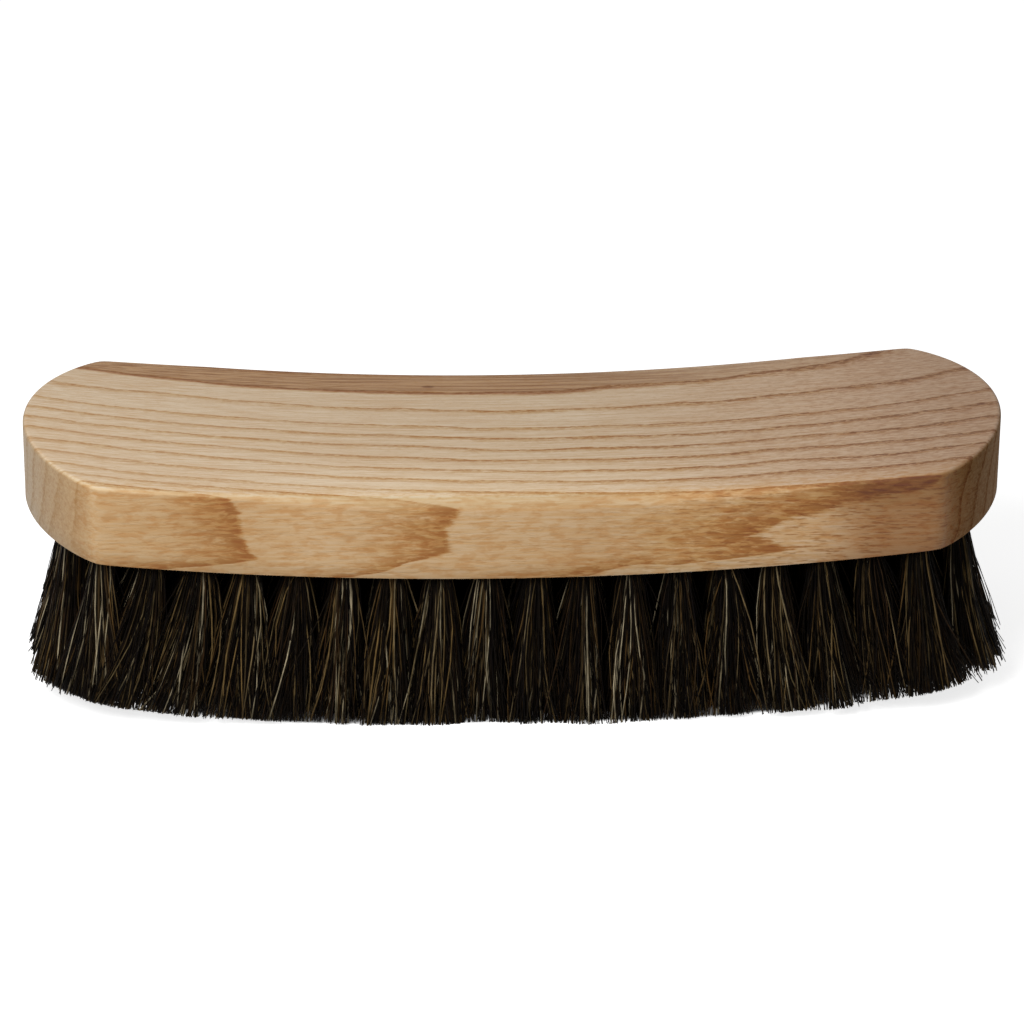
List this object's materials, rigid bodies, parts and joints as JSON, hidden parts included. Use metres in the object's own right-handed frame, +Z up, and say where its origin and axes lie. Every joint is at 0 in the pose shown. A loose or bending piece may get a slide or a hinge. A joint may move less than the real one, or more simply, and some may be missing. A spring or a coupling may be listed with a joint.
{
  "type": "horsehair bristle brush",
  "caption": "Long hand brush: a dished one-piece hardwood block with rounded ends, set underneath with rows of dark horsehair tufts.",
  "frame": {"origin": "on the surface that the brush stands on, below the middle of the block", "axes": "+X along the brush, +Y across it towards its back, +Z up from the tips of the bristle to the block"},
  "size_m": [0.1919, 0.0601, 0.0523],
  "materials": {
    "wood": "sanded and waxed open-grained hardwood",
    "horsehair": "dark brown and black hair with some pale hairs"
  },
  "bodies": {
    "root": {"handle_block": "wood", "tuft_row_01": "horsehair", "tuft_row_02": "horsehair", "tuft_row_03": "horsehair", "tuft_row_04": "horsehair", "tuft_row_05": "horsehair", "tuft_row_06": "horsehair", "tuft_row_07": "horsehair", "tuft_row_08": "horsehair", "tuft_row_09": "horsehair", "tuft_row_10": "horsehair", "tuft_row_11": "horsehair", "tuft_row_12": "horsehair", "tuft_row_13": "horsehair", "tuft_row_14": "horsehair", "tuft_row_15": "horsehair", "tuft_row_16": "horsehair", "tuft_row_17": "horsehair", "tuft_row_18": "horsehair", "tuft_row_19": "horsehair", "tuft_row_20": "horsehair"}
  },
  "joints": []
}
